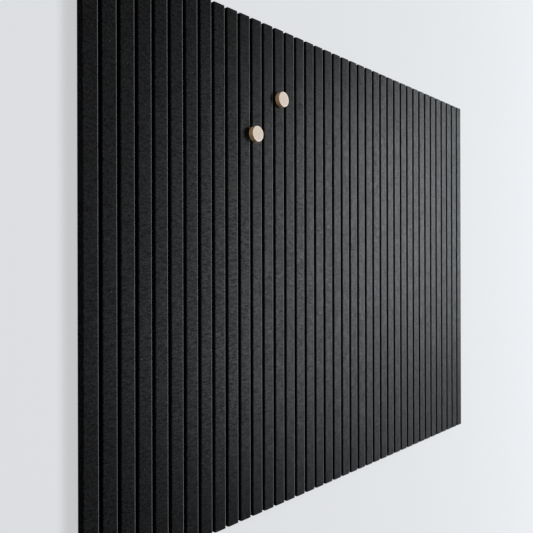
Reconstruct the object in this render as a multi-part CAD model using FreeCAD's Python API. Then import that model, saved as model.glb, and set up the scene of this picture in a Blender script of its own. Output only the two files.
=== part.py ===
import FreeCAD, Part
import math
import os

# Acoustic slat wall panel: one thick board of pressed felt, milled with straight grooves that
# leave a field of flat upright slats, and two turned wooden push pins stuck into its face.
# Lengths are millimetres. The origin is the middle of the back face, +X runs along the width,
# +Y points into the wall and +Z up, so the slats face -Y.

# Felt board
board_width = 800.0
board_height = 600.0
board_thickness = 10.0

# Slat field: whole slats at both sides, a groove between each two
slat_count = 39
groove_width = 4.0
groove_depth = 5.0
slat_edge_radius = 1.2
groove_root_radius = 0.6

# Push pin: a flat wooden head pressed on a steel needle
head_diameter = 19.0
head_thickness = 6.3
head_rim_chamfer = 0.7
head_back_chamfer = 0.4
needle_diameter = 1.2
needle_in_felt = 7.0
needle_in_head = 4.0
needle_point_length = 3.0
needle_clearance = 0.02

# Where the pins are stuck. The distance from the board's left side picks the slat, the next
# value is the needle's distance from that slat's left edge, and the last is from the top edge.
upper_pin_from_left = 277.7
upper_pin_on_slat = 9.7
upper_pin_below_top = 89.0
lower_pin_from_left = 230.2
lower_pin_on_slat = 3.4
lower_pin_below_top = 140.0

# Derived sizes
slat_width = (board_width - (slat_count - 1) * groove_width) / slat_count
slat_pitch = slat_width + groove_width
left_side = -board_width / 2
right_side = board_width / 2
back_face = 0.0
slat_face = -board_thickness
groove_floor = slat_face + groove_depth

turning_axis = FreeCAD.Vector(0, 1, 0)
full_turn = 360.0


def rounded_face(corners):
    # A flat face on the XY plane. Each corner is x, y and the radius that rounds it.
    points = [FreeCAD.Vector(x, y, 0) for x, y, radius in corners]
    edges = []
    runs = []
    for index, (x, y, radius) in enumerate(corners):
        corner = points[index]
        to_last = (points[index - 1] - corner).normalize()
        to_next = (points[(index + 1) % len(points)] - corner).normalize()
        half_angle = to_last.getAngle(to_next) / 2
        reach = radius / math.tan(half_angle)
        runs.append((corner + to_last * reach, corner + to_next * reach))
        if radius > 0:
            inward = (to_last + to_next).normalize()
            middle = corner + inward * (radius / math.sin(half_angle) - radius)
            edges.append(Part.Arc(runs[-1][0], middle, runs[-1][1]).toShape())
        if index > 0:
            edges.append(Part.LineSegment(runs[-2][1], runs[-1][0]).toShape())
    edges.append(Part.LineSegment(runs[-1][1], runs[0][0]).toShape())
    return Part.Face(Part.Wire(Part.__sortEdges__(edges)))


def turned(outline):
    # A turned solid from corners given as radius and height above the slat face.
    points = [FreeCAD.Vector(radius, -height, 0) for radius, height in outline]
    face = Part.Face(Part.makePolygon(points + points[:1]))
    return face.revolve(FreeCAD.Vector(), turning_axis, full_turn)


def slat_left_edge(slat):
    return left_side + slat * slat_pitch


def groove_corners(slat):
    # The groove to the right of a slat, from its right lip to its left lip.
    left_wall = slat_left_edge(slat) + slat_width
    right_wall = left_wall + groove_width
    return [
        (right_wall, slat_face, slat_edge_radius),
        (right_wall, groove_floor, groove_root_radius),
        (left_wall, groove_floor, groove_root_radius),
        (left_wall, slat_face, slat_edge_radius),
    ]


def needle(clearance):
    # A needle with its root in the head and its point in the felt, or the hole it sits in.
    radius = needle_diameter / 2 + clearance
    tip = -needle_in_felt - clearance
    shoulder = needle_point_length - needle_in_felt
    root = needle_in_head + clearance
    return turned([(0, root), (radius, root), (radius, shoulder), (0, tip)])


def pin_head():
    radius = head_diameter / 2
    blank = turned([
        (0, 0),
        (radius - head_back_chamfer, 0),
        (radius, head_back_chamfer),
        (radius, head_thickness - head_rim_chamfer),
        (radius - head_rim_chamfer, head_thickness),
        (0, head_thickness),
    ])
    return blank.cut(needle(needle_clearance)).Solids[0]


def pin_place(from_left, on_slat, below_top):
    slat = int(from_left // slat_pitch)
    return FreeCAD.Vector(slat_left_edge(slat) + on_slat, slat_face, board_height / 2 - below_top)


def felt_board(pin_places):
    corners = [
        (left_side, back_face, 0),
        (right_side, back_face, 0),
        (right_side, slat_face, slat_edge_radius),
    ]
    for slat in reversed(range(slat_count - 1)):
        corners += groove_corners(slat)
    corners.append((left_side, slat_face, slat_edge_radius))
    section = rounded_face(corners)
    section.translate(FreeCAD.Vector(0, 0, -board_height / 2))
    board = section.extrude(FreeCAD.Vector(0, 0, board_height))
    for place in pin_places:
        board = board.cut(needle(needle_clearance).translated(place)).Solids[0]
    return board


pin_places = {
    "upper_pin": pin_place(upper_pin_from_left, upper_pin_on_slat, upper_pin_below_top),
    "lower_pin": pin_place(lower_pin_from_left, lower_pin_on_slat, lower_pin_below_top),
}

nodes = {"felt_board": felt_board(pin_places.values())}
for pin, place in pin_places.items():
    nodes[pin + "_head"] = pin_head().translated(place)
    nodes[pin + "_needle"] = needle(0).translated(place)

os.makedirs("parts", exist_ok=True)
for name, shape in nodes.items():
    shape.exportStep("parts/" + name + ".step")
    print(name, shape.ShapeType, len(shape.Solids), shape.isValid(), round(shape.Volume, 1))
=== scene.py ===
import bpy
import math
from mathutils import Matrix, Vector


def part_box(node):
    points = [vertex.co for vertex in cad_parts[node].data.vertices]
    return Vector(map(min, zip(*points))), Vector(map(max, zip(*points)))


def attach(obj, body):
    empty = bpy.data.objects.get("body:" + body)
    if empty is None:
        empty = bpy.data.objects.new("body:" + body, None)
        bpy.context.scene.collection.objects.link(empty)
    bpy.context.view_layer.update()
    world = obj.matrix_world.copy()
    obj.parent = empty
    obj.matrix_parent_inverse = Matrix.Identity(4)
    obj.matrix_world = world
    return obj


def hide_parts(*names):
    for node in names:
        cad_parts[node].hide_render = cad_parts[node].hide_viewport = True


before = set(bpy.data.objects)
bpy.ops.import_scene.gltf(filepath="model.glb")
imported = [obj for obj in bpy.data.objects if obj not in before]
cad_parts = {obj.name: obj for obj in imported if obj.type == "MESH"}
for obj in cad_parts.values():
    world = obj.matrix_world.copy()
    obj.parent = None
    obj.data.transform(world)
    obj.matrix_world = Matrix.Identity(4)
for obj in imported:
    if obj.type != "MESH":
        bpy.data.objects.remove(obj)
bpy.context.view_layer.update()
mm = 0.001
hair = 0.05 * mm         # slack when faces and points are picked by their place
flatOn = 0.99            # a face that looks straight along an axis has more than this in its normal
quarterTurn = math.radians(90)
needles = ("upper_pin_needle", "lower_pin_needle")


def linearColour(hexCode):          # from sRGB
    channels = [int(hexCode[i:i + 2], 16) / 255 for i in (1, 3, 5)]
    linear = [c / 12.92 if c <= 0.04045 else ((c + 0.055) / 1.055) ** 2.4 for c in channels]
    return (*linear, 1.0)


def addNode(tree, kind, settings=None, sockets=None):
    node = tree.nodes.new(kind)
    for name, value in (settings or {}).items():
        setattr(node, name, value)
    for socket, value in (sockets or {}).items():
        if isinstance(value, bpy.types.NodeSocket):
            tree.links.new(value, node.inputs[socket])
        else:
            node.inputs[socket].default_value = value
    return node


mixIn = {"factor": 0, "first": 6, "second": 7}     # sockets of a colour Mix node
mixOut = 2


def newMaterial(name):
    material = bpy.data.materials.new(name)
    material.use_nodes = True
    tree = material.node_tree
    return material, tree, tree.nodes["Principled BSDF"]


def clearSelection():
    if bpy.context.object and bpy.context.object.mode != "OBJECT":
        bpy.ops.object.mode_set(mode="OBJECT")
    bpy.ops.object.select_all(action="DESELECT")


def makeActive(piece):
    clearSelection()
    piece.select_set(True)
    bpy.context.view_layer.objects.active = piece


def startPicking(kind):
    bpy.ops.object.mode_set(mode="EDIT")
    bpy.ops.mesh.select_mode(type=kind)
    bpy.ops.mesh.select_all(action="DESELECT")
    bpy.ops.object.mode_set(mode="OBJECT")


def selectVerts(piece, wanted):     # leaves edit mode on, with the wanted points picked
    startPicking("VERT")
    for vert in piece.data.vertices:
        vert.select = wanted(vert.co)
    bpy.ops.object.mode_set(mode="EDIT")


def selectFaces(piece, wanted):     # the same for faces
    startPicking("FACE")
    for face in piece.data.polygons:
        face.select = wanted(face.center, face.normal)
    bpy.ops.object.mode_set(mode="EDIT")


def assignSlots(piece, pickers):    # the first slot keeps what no picker takes, and a later picker wins
    for slot, wanted in enumerate(pickers, start=1):
        selectFaces(piece, wanted)
        piece.active_material_index = slot
        bpy.ops.object.material_slot_assign()
    bpy.ops.object.mode_set(mode="OBJECT")


shading = {"smoothAngle": 40, "flatWeight": 100}     # degrees, and how far large faces set the normals


def smoothWithFlats(piece):         # rounds shade round and the flats beside them stay flat
    makeActive(piece)
    bpy.ops.object.shade_smooth_by_angle(angle=math.radians(shading["smoothAngle"]))
    bpy.ops.object.modifier_add(type="WEIGHTED_NORMAL")
    weighted = piece.modifiers[-1]
    weighted.keep_sharp = True
    weighted.weight = shading["flatWeight"]
    bpy.ops.object.modifier_apply(modifier=weighted.name)


# felt

feltLook = {
    "tufts": {
        "size": 2.0 * mm,           # real fibres are 0.03 mm: drawn this wide so that they show
        "stretch": 1.6,
        "turns": (35, -40),         # degrees, two crossing lays of fibre
        "detail": 4.0,
        "roughness": 0.65,
        "range": (0.44, 0.72),      # of the noise, from the dark colour to the light one
        "strength": 0.6,
    },
    "patches": {"size": 14 * mm, "detail": 2.0, "tone": (0.88, 1.12)},
    "loft": {                       # low swells from the press, glossier on top
        "size": (3.6 * mm, 3.6 * mm, 2.4 * mm),
        "height": 0.065 * mm,
        "detail": 2.0,
        "roughness": 0.7,
    },
    "comb": {                       # fibres lie across the slats: flat ones shine, lifted ones do not
        "size": (6.0 * mm, 6.0 * mm, 1.6 * mm),
        "detail": 1.0,
        "roughness": 0.6,
        "specular": (0.016, 0.062),
    },
    "lint": {                       # a stray pale fibre here and there
        "spacing": (34 * mm, 62 * mm),
        "share": 0.30,              # of those places
        "size": 0.011,              # of the spacing
        "colour": "#525251",
    },
    "noiseRange": (0.3, 0.7),       # where nearly all of a noise lies
    "sheenRoughness": 0.6,
}
feltSurfaces = {
    "face": {"dark": "#080808", "light": "#242425", "roughness": (0.315, 0.495),
             "relief": 0.3 * mm, "sheen": 0.0, "lint": True},
    # darker than the face: duller cut felt, and partly painted shade in the grooves
    "milled_and_painted_shade": {"dark": "#020202", "light": "#161617", "roughness": (0.80, 0.95),
               "relief": 1.0 * mm, "sheen": 0.0, "lint": False},
    "lip": {"dark": "#0c0c0c", "light": "#323233", "roughness": (0.60, 0.80),
            "relief": 0.6 * mm, "sheen": 0.0, "lint": False},
    # paler than the face on the right edges, which face the window lamps: partly a painted highlight; the
    # sheen is the lifted nap
    "nap_and_painted_highlight": {"dark": "#101010", "light": "#3a3a3b", "roughness": (0.32, 0.50),
            "relief": 0.3 * mm, "sheen": 1.0, "lint": False},
}


def strayFibres(tree, where, colour):
    lint = feltLook["lint"]
    across = addNode(tree, "ShaderNodeMapping", {"vector_type": "TEXTURE"}, {
        "Vector": where, "Rotation": (quarterTurn, 0, 0), "Scale": (*lint["spacing"], 1.0)})
    places = addNode(tree, "ShaderNodeTexVoronoi", {"voronoi_dimensions": "2D"}, {
        "Vector": across.outputs["Vector"], "Scale": 1.0})
    near = addNode(tree, "ShaderNodeMath", {"operation": "LESS_THAN"}, {
        0: places.outputs["Distance"], 1: lint["size"]})
    draw = addNode(tree, "ShaderNodeSeparateColor", None, {"Color": places.outputs["Color"]})
    kept = addNode(tree, "ShaderNodeMath", {"operation": "LESS_THAN"}, {
        0: draw.outputs["Red"], 1: lint["share"]})
    strays = addNode(tree, "ShaderNodeMath", {"operation": "MULTIPLY"}, {
        0: near.outputs["Value"], 1: kept.outputs["Value"]})
    return addNode(tree, "ShaderNodeMix", {"data_type": "RGBA"}, {
        mixIn["factor"]: strays.outputs["Value"], mixIn["first"]: colour,
        mixIn["second"]: linearColour(lint["colour"])}).outputs[mixOut]


def needledFelt(name, look):
    # black polyester felt, needled and heat-pressed: a flat dull black with a salt and pepper of
    # crossing fibre tufts that brightens where light skims along it. Milled walls are duller, rougher
    # and darker, the darkness partly painted shade in the grooves. Eased edges are paler, and on the
    # right edges the paler colour is partly a painted highlight, beside a sheen of lifted nap that
    # catches skimming light
    material, tree, shader = newMaterial(name)
    where = addNode(tree, "ShaderNodeTexCoord").outputs["Object"]
    noiseLow, noiseHigh = feltLook["noiseRange"]

    tuft = feltLook["tufts"]
    tufts = []
    for turn in tuft["turns"]:
        lay = addNode(tree, "ShaderNodeMapping", {"vector_type": "TEXTURE"}, {
            "Vector": where, "Rotation": (0, math.radians(turn), 0),
            "Scale": (tuft["size"], tuft["size"], tuft["size"] * tuft["stretch"])})
        tufts.append(addNode(tree, "ShaderNodeTexNoise", None, {
            "Vector": lay.outputs["Vector"], "Scale": 1.0,
            "Detail": tuft["detail"], "Roughness": tuft["roughness"]}))
    crossed = addNode(tree, "ShaderNodeMath", {"operation": "MAXIMUM"}, {
        0: tufts[0].outputs["Fac"], 1: tufts[1].outputs["Fac"]})
    spread = addNode(tree, "ShaderNodeMapRange", None, {
        "Value": crossed.outputs["Value"], "From Min": tuft["range"][0], "From Max": tuft["range"][1]})
    fibres = addNode(tree, "ShaderNodeMix", {"data_type": "RGBA"}, {
        mixIn["factor"]: spread.outputs["Result"],
        mixIn["first"]: linearColour(look["dark"]),
        mixIn["second"]: linearColour(look["light"])})

    patch = feltLook["patches"]
    patches = addNode(tree, "ShaderNodeTexNoise", None, {
        "Vector": where, "Scale": 1 / patch["size"], "Detail": patch["detail"]})
    shade = addNode(tree, "ShaderNodeMapRange", None, {
        "Value": patches.outputs["Fac"], "From Min": noiseLow, "From Max": noiseHigh,
        "To Min": patch["tone"][0], "To Max": patch["tone"][1]})
    toned = addNode(tree, "ShaderNodeVectorMath", {"operation": "SCALE"}, {
        0: fibres.outputs[mixOut], "Scale": shade.outputs["Result"]})
    colour = toned.outputs["Vector"]
    if look["lint"]:
        colour = strayFibres(tree, where, colour)

    loft = feltLook["loft"]
    pressed = addNode(tree, "ShaderNodeMapping", {"vector_type": "TEXTURE"}, {
        "Vector": where, "Scale": loft["size"]})
    swells = addNode(tree, "ShaderNodeTexNoise", None, {
        "Vector": pressed.outputs["Vector"], "Scale": 1.0,
        "Detail": loft["detail"], "Roughness": loft["roughness"]})
    gloss = addNode(tree, "ShaderNodeMapRange", None, {
        "Value": swells.outputs["Fac"], "From Min": noiseLow, "From Max": noiseHigh,
        "To Min": look["roughness"][1], "To Max": look["roughness"][0]})
    rise = addNode(tree, "ShaderNodeBump", None, {
        "Height": swells.outputs["Fac"], "Strength": 1.0, "Distance": loft["height"]})
    relief = addNode(tree, "ShaderNodeBump", None, {
        "Height": crossed.outputs["Value"], "Strength": tuft["strength"], "Distance": look["relief"],
        "Normal": rise.outputs["Normal"]})

    comb = feltLook["comb"]
    combed = addNode(tree, "ShaderNodeMapping", {"vector_type": "TEXTURE"}, {
        "Vector": where, "Scale": comb["size"]})
    strands = addNode(tree, "ShaderNodeTexNoise", None, {
        "Vector": combed.outputs["Vector"], "Scale": 1.0,
        "Detail": comb["detail"], "Roughness": comb["roughness"]})
    shine = addNode(tree, "ShaderNodeMapRange", None, {
        "Value": strands.outputs["Fac"], "From Min": noiseLow, "From Max": noiseHigh,
        "To Min": comb["specular"][0], "To Max": comb["specular"][1]})

    tree.links.new(colour, shader.inputs["Base Color"])
    tree.links.new(gloss.outputs["Result"], shader.inputs["Roughness"])
    tree.links.new(relief.outputs["Normal"], shader.inputs["Normal"])
    tree.links.new(shine.outputs["Result"], shader.inputs["Specular IOR Level"])
    shader.inputs["Specular IOR Level"].default_value = sum(comb["specular"]) / 2     # exports drop the link
    shader.inputs["Sheen Weight"].default_value = look["sheen"]
    shader.inputs["Sheen Roughness"].default_value = feltLook["sheenRoughness"]
    return material


boardShape = {
    "slats": 39,
    "groove": 4 * mm,
    "grooveDepth": 5 * mm,
    "edgeRadius": 1.2 * mm,
    "edgeSteps": 4,
    "rootRadius": 0.6 * mm,
    "rootSteps": 2,
    "rows": 120,                # rings along the slats, for the uneven felt edges
    "edgeWobble": 0.06 * mm,
    "wobbleSize": 9 * mm,
    "lipTilt": (0.1, 0.98),     # sideways part of the normals on the left edge of each slat
    "napHighlightTilt": (0.1, 0.4),      # and on the right edge, where the cutter lifts the nap and a paler colour is painted as a highlight
    "needleHole": {"sides": 24, "clearance": 0.02 * mm, "point": 3 * mm},
}


def modelBoard():
    low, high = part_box("felt_board")
    front, back = low.y, high.y
    depth, height = back - front, high.z - low.z
    gaps = boardShape["slats"] - 1
    slatWidth = (high.x - low.x - gaps * boardShape["groove"]) / boardShape["slats"]

    clearSelection()
    bpy.ops.mesh.primitive_plane_add(size=boardShape["groove"], location=(low.x, back, low.z))
    board = bpy.context.object
    board.name = "feltBoard"
    bpy.ops.object.transform_apply(location=True)
    bpy.ops.object.mode_set(mode="EDIT")
    bpy.ops.mesh.select_all(action="SELECT")
    bpy.ops.mesh.merge(type="CENTER")        # one point at the back left corner, drawn out into the section

    outline = [(0, -depth), (slatWidth, 0)]
    for groove in range(gaps):
        outline += [(0, boardShape["grooveDepth"]), (boardShape["groove"], 0),
                    (0, -boardShape["grooveDepth"]), (slatWidth, 0)]
    outline.append((0, depth))
    for stepX, stepY in outline:
        bpy.ops.mesh.extrude_vertices_move(TRANSFORM_OT_translate={"value": (stepX, stepY, 0)})
    selectVerts(board, lambda co: co.y > back - hair)
    bpy.ops.mesh.edge_face_add()             # the back, from corner to corner

    selectVerts(board, lambda co: co.y < front + hair)
    bpy.ops.mesh.bevel(affect="VERTICES", offset=boardShape["edgeRadius"],
                       segments=boardShape["edgeSteps"])
    floor = front + boardShape["grooveDepth"]
    selectVerts(board, lambda co: abs(co.y - floor) < hair)
    bpy.ops.mesh.bevel(affect="VERTICES", offset=boardShape["rootRadius"],
                       segments=boardShape["rootSteps"])

    bpy.ops.mesh.select_all(action="SELECT")
    for row in range(boardShape["rows"]):
        bpy.ops.mesh.extrude_region_move(
            TRANSFORM_OT_translate={"value": (0, 0, height / boardShape["rows"])})
    bpy.ops.mesh.select_all(action="SELECT")
    bpy.ops.mesh.fill_holes(sides=0)         # the two sawn ends
    bpy.ops.mesh.select_all(action="SELECT")
    bpy.ops.mesh.normals_make_consistent(inside=False)
    bpy.ops.object.mode_set(mode="OBJECT")
    return board


def cutNeedleHole(board, needle):
    hole = boardShape["needleHole"]
    low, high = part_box(needle)
    middle = (low + high) / 2
    radius = (high.x - low.x) / 2 + hole["clearance"]
    shoulder = high.y - hole["point"]
    clearSelection()
    bpy.ops.mesh.primitive_cylinder_add(
        vertices=hole["sides"], radius=radius, depth=shoulder - low.y,
        location=(middle.x, (low.y + shoulder) / 2, middle.z), rotation=(quarterTurn, 0, 0))
    cutter = bpy.context.object
    bpy.ops.object.transform_apply(location=True, rotation=True)
    selectFaces(cutter, lambda centre, normal: normal.y > flatOn)
    bpy.ops.mesh.extrude_region_move(
        TRANSFORM_OT_translate={"value": (0, hole["point"] + hole["clearance"], 0)})
    bpy.ops.mesh.merge(type="CENTER")        # the point
    bpy.ops.object.mode_set(mode="OBJECT")

    makeActive(board)
    bpy.ops.object.modifier_add(type="BOOLEAN")
    cut = board.modifiers[-1]
    cut.operation = "DIFFERENCE"
    cut.object = cutter
    bpy.ops.object.modifier_apply(modifier=cut.name)
    makeActive(cutter)
    bpy.ops.object.delete()


def finishBoard(board):
    low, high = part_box("felt_board")
    edgeLine = low.y + boardShape["edgeRadius"]
    lipLeast, lipMost = boardShape["lipTilt"]
    napHighlightLeast, napHighlightMost = boardShape["napHighlightTilt"]
    makeActive(board)
    for surface, look in feltSurfaces.items():
        board.data.materials.append(needledFelt("black needled felt " + surface, look))
    assignSlots(board, [
        # groove walls and floors, sides and ends: darker, partly as painted shade in the grooves
        lambda centre, normal: low.y + hair < centre.y < high.y - hair,
        lambda centre, normal: centre.y < edgeLine and lipLeast < -normal.x < lipMost,
        # right edges: a paler colour as a painted highlight, with the nap's sheen
        lambda centre, normal: centre.y < edgeLine and napHighlightLeast < normal.x < napHighlightMost,
    ])

    selectVerts(board, lambda co: low.y + hair < co.y < edgeLine + hair)
    bpy.ops.object.vertex_group_add()
    bpy.ops.object.vertex_group_assign()     # the eased edges, a little uneven along their length
    bpy.ops.object.mode_set(mode="OBJECT")
    clouds = bpy.data.textures.new("felt edge", type="CLOUDS")
    clouds.noise_scale = boardShape["wobbleSize"]
    bpy.ops.object.modifier_add(type="DISPLACE")
    wobble = board.modifiers[-1]
    wobble.texture = clouds
    wobble.vertex_group = board.vertex_groups[0].name
    wobble.direction = "X"
    wobble.strength = 2 * boardShape["edgeWobble"]     # half of it each way
    bpy.ops.object.modifier_apply(modifier=wobble.name)
    smoothWithFlats(board)


board = modelBoard()
for needle in needles:
    cutNeedleHole(board, needle)
finishBoard(board)
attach(board, "root")
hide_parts("felt_board")
print("felt board:", len(board.data.vertices), "points,", len(board.data.polygons), "faces")


# push pins

beechLook = {
    "face": {"early": "#d9c6b6", "late": "#cab3a1"},
    # the rim and a thin ring of the face: paler, as a painted highlight round the edge
    "rim": {"early": "#ebd8cb", "late": "#dfcbbc"},
    # warmer long grain, and lifted brighter than the face as painted light for the side in shade
    "side": {"early": "#f4cd97", "late": "#e0b478"},
    "rings": {"spacing": 2.1 * mm, "turn": 28, "waver": 1.6, "detail": 2.0, "detailScale": 0.6},
    "pores": {
        "size": 0.35 * mm,          # real pores are 0.07 mm: drawn this wide so that they show
        "length": 4 * mm,
        "detail": 2.0,
        "range": (0.32, 0.6),       # of the noise, from pore to sound wood
        "tone": (0.78, 1.04),
        "depth": 0.08 * mm,
        "strength": 0.5,
    },
    "roughness": (0.52, 0.68),
    "specular": 0.35,
}


def turnedBeech(name, look):
    # turned and sanded beech dowel, bare: pale end grain with faint growth lines and small pores on
    # the flat face, warmer long grain with short streaks round the side, silky and without gloss. The
    # side's colour is also lifted brighter than beech, as painted light on a side the lamps leave in shade
    material, tree, shader = newMaterial(name)
    where = addNode(tree, "ShaderNodeTexCoord").outputs["Object"]

    ring = beechLook["rings"]
    turned = addNode(tree, "ShaderNodeMapping", None, {
        "Vector": where, "Rotation": (0, math.radians(ring["turn"]), 0)})
    wavesPerUnit = 20 / (2 * math.pi)        # of a wave texture at scale 1
    rings = addNode(tree, "ShaderNodeTexWave", {"wave_profile": "SAW"}, {
        "Vector": turned.outputs["Vector"], "Scale": 1 / ring["spacing"] / wavesPerUnit,
        "Distortion": ring["waver"], "Detail": ring["detail"], "Detail Scale": ring["detailScale"]})
    grain = addNode(tree, "ShaderNodeMix", {"data_type": "RGBA"}, {
        mixIn["factor"]: rings.outputs["Fac"],
        mixIn["first"]: linearColour(look["early"]),
        mixIn["second"]: linearColour(look["late"])})

    pore = beechLook["pores"]
    along = addNode(tree, "ShaderNodeMapping", {"vector_type": "TEXTURE"}, {
        "Vector": where, "Scale": (pore["size"], pore["length"], pore["size"])})
    pores = addNode(tree, "ShaderNodeTexNoise", None, {
        "Vector": along.outputs["Vector"], "Scale": 1.0, "Detail": pore["detail"]})
    poreTone = addNode(tree, "ShaderNodeMapRange", None, {
        "Value": pores.outputs["Fac"], "From Min": pore["range"][0], "From Max": pore["range"][1],
        "To Min": pore["tone"][0], "To Max": pore["tone"][1]})
    toned = addNode(tree, "ShaderNodeVectorMath", {"operation": "SCALE"}, {
        0: grain.outputs[mixOut], "Scale": poreTone.outputs["Result"]})
    gloss = addNode(tree, "ShaderNodeMapRange", None, {
        "Value": pores.outputs["Fac"], "From Min": pore["range"][0], "From Max": pore["range"][1],
        "To Min": beechLook["roughness"][1], "To Max": beechLook["roughness"][0]})
    relief = addNode(tree, "ShaderNodeBump", None, {
        "Height": pores.outputs["Fac"], "Strength": pore["strength"], "Distance": pore["depth"]})

    tree.links.new(toned.outputs["Vector"], shader.inputs["Base Color"])
    tree.links.new(gloss.outputs["Result"], shader.inputs["Roughness"])
    tree.links.new(relief.outputs["Normal"], shader.inputs["Normal"])
    shader.inputs["Specular IOR Level"].default_value = beechLook["specular"]
    return material


headShape = {
    "sides": 64,
    "rim": 0.7 * mm,
    "rimSteps": 4,
    "backEdge": 0.4 * mm,
    "holeRadius": 0.62 * mm,
    "holeDepth": 4.02 * mm,
    "faceRing": 0.8 * mm,       # as pale as the rim: a painted highlight ring round the face
    "frontTilt": 0.4,           # forward part of the normals where the side ends and the rim starts
}


def modelHead():
    low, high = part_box("upper_pin_head")
    middle = (low + high) / 2
    radius = (high.x - low.x) / 2
    clearSelection()
    bpy.ops.mesh.primitive_cylinder_add(
        vertices=headShape["sides"], radius=radius, depth=high.y - low.y,
        location=middle, rotation=(quarterTurn, 0, 0))
    head = bpy.context.object
    head.name = "upperPinHead"
    bpy.ops.object.transform_apply(location=True, rotation=True)

    selectFaces(head, lambda centre, normal: normal.y > flatOn)
    bpy.ops.mesh.inset(thickness=radius - headShape["holeRadius"])
    bpy.ops.mesh.extrude_region_move(TRANSFORM_OT_translate={"value": (0, -headShape["holeDepth"], 0)})
    for edgeY, offset, steps in ((low.y, headShape["rim"], headShape["rimSteps"]),
                                 (high.y, headShape["backEdge"], 1)):
        selectVerts(head, lambda co: abs(co.y - edgeY) < hair and (co - middle).xz.length > radius - hair)
        bpy.ops.mesh.select_mode(type="EDGE")
        bpy.ops.mesh.bevel(offset=offset, segments=steps)
    selectFaces(head, lambda centre, normal: normal.y < -flatOn and centre.y < low.y + hair)
    bpy.ops.mesh.inset(thickness=headShape["faceRing"])
    bpy.ops.object.mode_set(mode="OBJECT")
    return head


def finishHead(head):
    low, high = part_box("upper_pin_head")
    middle = (low + high) / 2
    core = (high.x - low.x) / 2 - headShape["rim"] - headShape["faceRing"]
    frontTilt = headShape["frontTilt"]
    head.data.materials.append(turnedBeech("sanded beech end grain", beechLook["face"]))
    head.data.materials.append(turnedBeech("turned beech side with painted light", beechLook["side"]))
    head.data.materials.append(turnedBeech("beech rim with painted highlight", beechLook["rim"]))
    assignSlots(head, [
        # the side, its colour lifted as painted light
        lambda centre, normal: normal.y > -frontTilt,
        # the front of the rim and a thin ring of the face take the painted highlight
        lambda centre, normal: normal.y < -frontTilt and (centre - middle).xz.length > core,
    ])
    smoothWithFlats(head)


def copyHead(head):
    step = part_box("lower_pin_head")[0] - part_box("upper_pin_head")[0]
    makeActive(head)
    bpy.ops.object.duplicate()
    other = bpy.context.object
    other.name = "lowerPinHead"
    bpy.ops.transform.translate(value=step)
    bpy.ops.object.transform_apply(location=True)
    return other


upperHead = modelHead()
finishHead(upperHead)
lowerHead = copyHead(upperHead)
for head, node in ((upperHead, "upper_pin_head"), (lowerHead, "lower_pin_head")):
    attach(head, "root")
    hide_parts(node)
print("pin heads:", len(upperHead.data.polygons), "faces each")


needleLook = {
    "steel": "#b4b6b8",
    "lineSize": 0.15 * mm,
    "lineLength": 6 * mm,
    "roughness": (0.18, 0.34),
}


def drawnSteel():
    # bright drawn steel wire: a grey mirror softened by fine lines along its length
    material, tree, shader = newMaterial("bright drawn steel")
    where = addNode(tree, "ShaderNodeTexCoord").outputs["Object"]
    along = addNode(tree, "ShaderNodeMapping", {"vector_type": "TEXTURE"}, {
        "Vector": where,
        "Scale": (needleLook["lineSize"], needleLook["lineLength"], needleLook["lineSize"])})
    lines = addNode(tree, "ShaderNodeTexNoise", None, {"Vector": along.outputs["Vector"], "Scale": 1.0})
    gloss = addNode(tree, "ShaderNodeMapRange", None, {
        "Value": lines.outputs["Fac"],
        "To Min": needleLook["roughness"][0], "To Max": needleLook["roughness"][1]})
    tree.links.new(gloss.outputs["Result"], shader.inputs["Roughness"])
    shader.inputs["Base Color"].default_value = linearColour(needleLook["steel"])
    shader.inputs["Metallic"].default_value = 1.0
    return material


steel = drawnSteel()
for needle in needles:
    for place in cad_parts[needle].material_slots:
        place.material = steel
print("needles: drawn steel")


# stage

stageSet = {
    "size": 8.0,
    "paint": "#e8e9eb",
    "roughness": 0.9,
    "floor": {"drop": 1.6, "ownLight": 0.78, "litShare": 0.06},         # a lamp stands close above it
    "wall": {"gap": 0.2 * mm, "ownLight": 0.64, "litShare": 0.29},
    "roomLight": 0.26,
}


def palePaint(name, light):
    # matt emulsion, pale and even. It has its own light for the camera, to which the lamps add their
    # share and the shadow, and seen from its back it is clear, so the object shows from all sides
    material, tree, shader = newMaterial(name)
    paint = linearColour(stageSet["paint"])
    shader.inputs["Base Color"].default_value = (*[c * light["litShare"] for c in paint[:3]], 1.0)
    shader.inputs["Roughness"].default_value = stageSet["roughness"]
    shader.inputs["Specular IOR Level"].default_value = 0.0
    shader.inputs["Emission Color"].default_value = paint
    seen = addNode(tree, "ShaderNodeLightPath").outputs["Is Camera Ray"]
    glow = addNode(tree, "ShaderNodeMath", {"operation": "MULTIPLY"}, {0: seen, 1: light["ownLight"]})
    tree.links.new(glow.outputs["Value"], shader.inputs["Emission Strength"])
    clear = addNode(tree, "ShaderNodeBsdfTransparent")
    side = addNode(tree, "ShaderNodeNewGeometry").outputs["Backfacing"]
    oneWay = addNode(tree, "ShaderNodeMixShader", None, {
        0: side, 1: shader.outputs["BSDF"], 2: clear.outputs["BSDF"]})
    tree.links.new(oneWay.outputs["Shader"], tree.nodes["Material Output"].inputs["Surface"])
    return material


def addStage(name, place, turn):
    clearSelection()
    bpy.ops.mesh.primitive_plane_add(size=stageSet["size"], location=place, rotation=turn)
    plane = bpy.context.object
    plane.name = name
    plane.data.materials.append(palePaint(name + " paint", stageSet[name]))
    return plane


addStage("floor", (0, 0, -stageSet["floor"]["drop"]), (0, 0, 0))
wall = addStage("wall", (0, stageSet["wall"]["gap"], 0), (quarterTurn, 0, 0))
for flag in ("visible_shadow", "visible_diffuse", "visible_glossy", "visible_transmission"):
    setattr(wall, flag, False)               # it shows to the camera alone and keeps no light off the back


# light and camera

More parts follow.
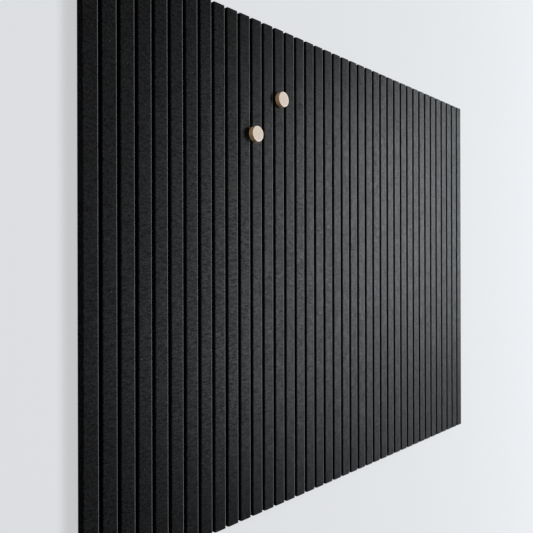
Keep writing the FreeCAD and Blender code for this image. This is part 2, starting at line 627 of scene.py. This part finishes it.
lamps = {
    "window": {"place": (3.524, -2.22, 0.46), "size": (0.8, 1.875), "power": 183, "colour": "#f6fbff"},
    "low window": {"place": (3.205, -2.8, -0.866), "size": (1.1, 1.0), "power": 98, "colour": "#f6fbff"},
    "fill lamp": {"place": (-2.6, -1.2, 0.4), "size": (1.6, 1.6), "power": 11, "colour": "#ffffff"},
    "rear lamp": {"place": (0.0, 1.8, 0.1), "size": (1.2, 1.2), "power": 40, "colour": "#ffffff"},
}


def addLamp(name, lampSet):
    clearSelection()
    aim = (-Vector(lampSet["place"])).to_track_quat("-Z", "Y").to_euler()
    bpy.ops.object.light_add(type="AREA", location=lampSet["place"], rotation=aim)
    lamp = bpy.context.object
    lamp.name = name
    lamp.data.shape = "RECTANGLE"
    lamp.data.size, lamp.data.size_y = lampSet["size"]
    lamp.data.energy = lampSet["power"]
    lamp.data.color = linearColour(lampSet["colour"])[:3]
    lamp.visible_camera = False


def addRoomLight():                 # white to the camera, dimmer on the object
    world = bpy.data.worlds.new("studio")
    bpy.context.scene.world = world
    world.use_nodes = True
    tree = world.node_tree
    sky = tree.nodes["Background"]
    seen = addNode(tree, "ShaderNodeLightPath").outputs["Is Camera Ray"]
    level = addNode(tree, "ShaderNodeMapRange", None, {
        "Value": seen, "To Min": stageSet["roomLight"], "To Max": 1.0})
    sky.inputs["Color"].default_value = linearColour(stageSet["paint"])
    tree.links.new(level.outputs["Result"], sky.inputs["Strength"])


for name, lampSet in lamps.items():
    addLamp(name, lampSet)
addRoomLight()

cameraSet = {
    "place": (-0.6948, -0.5108, 0.0001),
    "level": 90,                # degrees, from looking straight down
    "nod": 0.021,
    "roll": 0.134,
    "turn": -47.475,            # towards +X
    "sensor": 36,
    "focalPixels": 600.3,       # focal length, in pixels of a picture this wide
    "pictureWidth": 533,
    "clipStart": 0.01,
}


def addCamera():
    clearSelection()
    angles = (cameraSet["level"] + cameraSet["nod"], cameraSet["roll"], cameraSet["turn"])
    aim = [math.radians(angle) for angle in angles]
    bpy.ops.object.camera_add(location=cameraSet["place"], rotation=aim)
    camera = bpy.context.object
    camera.data.sensor_width = cameraSet["sensor"]
    camera.data.lens = cameraSet["sensor"] * cameraSet["focalPixels"] / cameraSet["pictureWidth"]
    camera.data.clip_start = cameraSet["clipStart"]
    bpy.context.scene.camera = camera


addCamera()
bpy.context.scene.view_settings.view_transform = "Standard"
print("stage, lamps and camera set")
